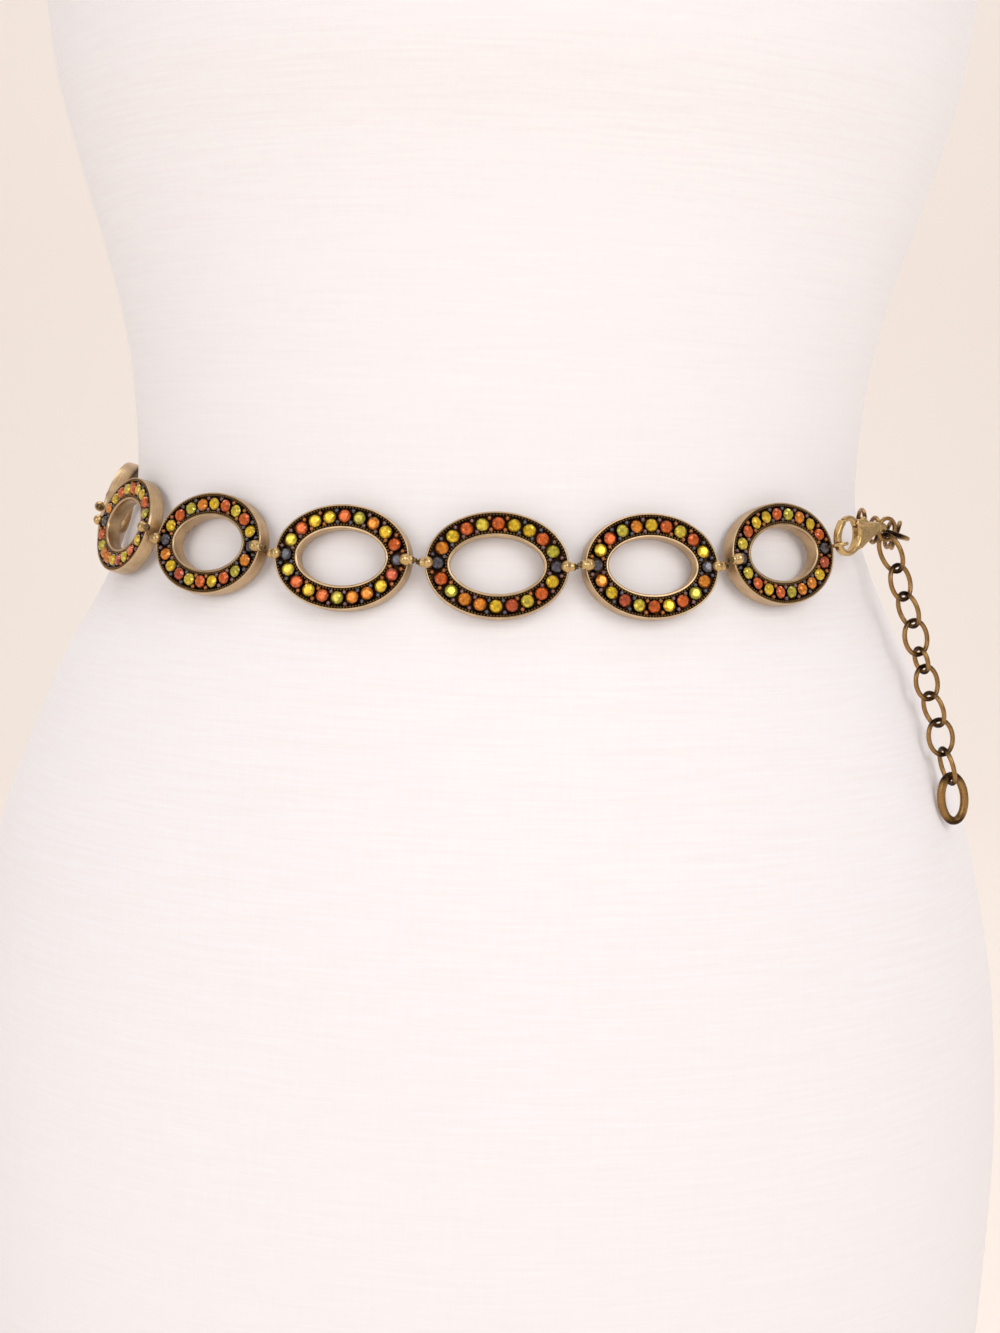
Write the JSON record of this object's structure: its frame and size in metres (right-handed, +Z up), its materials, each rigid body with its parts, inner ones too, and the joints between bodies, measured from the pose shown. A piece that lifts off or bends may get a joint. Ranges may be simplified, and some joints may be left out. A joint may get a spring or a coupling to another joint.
{
  "type": "rhinestone chain belt on a dress form",
  "caption": "Chain belt of open oval links set with round stones, with a lobster clasp and a hanging chain tail, on a limbless cloth-covered dress form.",
  "frame": {"origin": "point on the underside of the dress form, below the axis of the waist", "axes": "+Z up; the form faces -Y, so +X is the viewer's right, where the clasp and the tail are"},
  "size_m": [0.367, 0.257, 0.752],
  "materials": {
    "jersey": "matt slubbed white jersey",
    "wood": "oiled beech",
    "antique_gold": "brushed antique gold plate",
    "antique_bronze": "darkened antique bronze plate",
    "stones": "faceted yellow, orange and green glass"
  },
  "bodies": {
    "belt": {"form_base": "wood", "form_body": "jersey", "form_neck_cap": "wood", "oval_01_frame": "antique_gold", "oval_01_stones": "stones", "oval_02_frame": "antique_gold", "oval_02_stones": "stones", "oval_03_frame": "antique_gold", "oval_03_stones": "stones", "oval_04_frame": "antique_gold", "oval_04_stones": "stones", "oval_05_frame": "antique_gold", "oval_05_stones": "stones", "oval_06_frame": "antique_gold", "oval_06_stones": "stones", "oval_07_frame": "antique_gold", "oval_07_stones": "stones", "oval_08_frame": "antique_gold", "oval_08_stones": "stones", "oval_09_frame": "antique_gold", "oval_09_stones": "stones", "oval_10_frame": "antique_gold", "oval_10_stones": "stones", "oval_11_frame": "antique_gold", "oval_11_stones": "stones", "oval_12_frame": "antique_gold", "oval_12_stones": "stones", "oval_13_frame": "antique_gold", "oval_13_stones": "stones", "oval_14_frame": "antique_gold", "oval_14_stones": "stones", "clasp_body": "antique_gold", "clasp_lever": "antique_gold", "clasp_ring": "antique_bronze", "back_link_1": "antique_bronze", "back_link_2": "antique_bronze", "back_link_3": "antique_bronze", "back_link_4": "antique_bronze", "back_link_5": "antique_bronze", "back_link_6": "antique_bronze", "back_link_7": "antique_bronze", "back_link_8": "antique_bronze"},
    "tail_1": {"tail_link_1": "antique_bronze"},
    "tail_2": {"tail_link_2": "antique_bronze"},
    "tail_3": {"tail_link_3": "antique_bronze"},
    "tail_4": {"tail_link_4": "antique_bronze"},
    "tail_5": {"tail_link_5": "antique_bronze"},
    "tail_6": {"tail_link_6": "antique_bronze"},
    "tail_7": {"tail_link_7": "antique_bronze"},
    "tail_8": {"tail_link_8": "antique_bronze"},
    "tail_9": {"tail_link_9": "antique_bronze"},
    "end_ring": {"tail_end_ring": "antique_bronze"}
  },
  "joints": [
    {"name": "tail_1_swing", "type": "hinge", "parent": "belt", "child": "tail_1", "pos_m": [0.12213, -0.0455, 0.33664], "axis": [-0.7818, -0.5162, -0.3497], "range_deg": [0, 30]},
    {"name": "tail_2_swing", "type": "hinge", "parent": "tail_1", "child": "tail_2", "pos_m": [0.12625, -0.04513, 0.32688], "axis": [0.5488, -0.8179, 0.173], "range_deg": [0, 30]},
    {"name": "tail_3_swing", "type": "hinge", "parent": "tail_2", "child": "tail_3", "pos_m": [0.12939, -0.04486, 0.31824], "axis": [-0.7781, -0.5521, -0.2996], "range_deg": [0, 30]},
    {"name": "tail_4_swing", "type": "hinge", "parent": "tail_3", "child": "tail_4", "pos_m": [0.13252, -0.04458, 0.30959], "axis": [0.4632, -0.8779, 0.1214], "range_deg": [0, 30]},
    {"name": "tail_5_swing", "type": "hinge", "parent": "tail_4", "child": "tail_5", "pos_m": [0.13528, -0.04434, 0.30082], "axis": [-0.8784, -0.3889, -0.2779], "range_deg": [0, 30]},
    {"name": "tail_6_swing", "type": "hinge", "parent": "tail_5", "child": "tail_6", "pos_m": [0.13703, -0.04419, 0.29508], "axis": [0.4233, -0.8991, 0.1115], "range_deg": [0, 30]},
    {"name": "tail_7_swing", "type": "hinge", "parent": "tail_6", "child": "tail_7", "pos_m": [0.13977, -0.04395, 0.28662], "axis": [-0.8549, -0.4191, -0.3058], "range_deg": [0, 30]},
    {"name": "tail_8_swing", "type": "hinge", "parent": "tail_7", "child": "tail_8", "pos_m": [0.14275, -0.04369, 0.27792], "axis": [0.4679, -0.8767, 0.1117], "range_deg": [0, 30]},
    {"name": "tail_9_swing", "type": "hinge", "parent": "tail_8", "child": "tail_9", "pos_m": [0.14539, -0.04346, 0.26869], "axis": [-0.9194, -0.2593, -0.2959], "range_deg": [0, 30]},
    {"name": "end_ring_swing", "type": "hinge", "parent": "tail_9", "child": "end_ring", "pos_m": [0.14838, -0.0432, 0.25915], "axis": [0.207, -0.9782, 0.0192], "range_deg": [0, 30]}
  ]
}
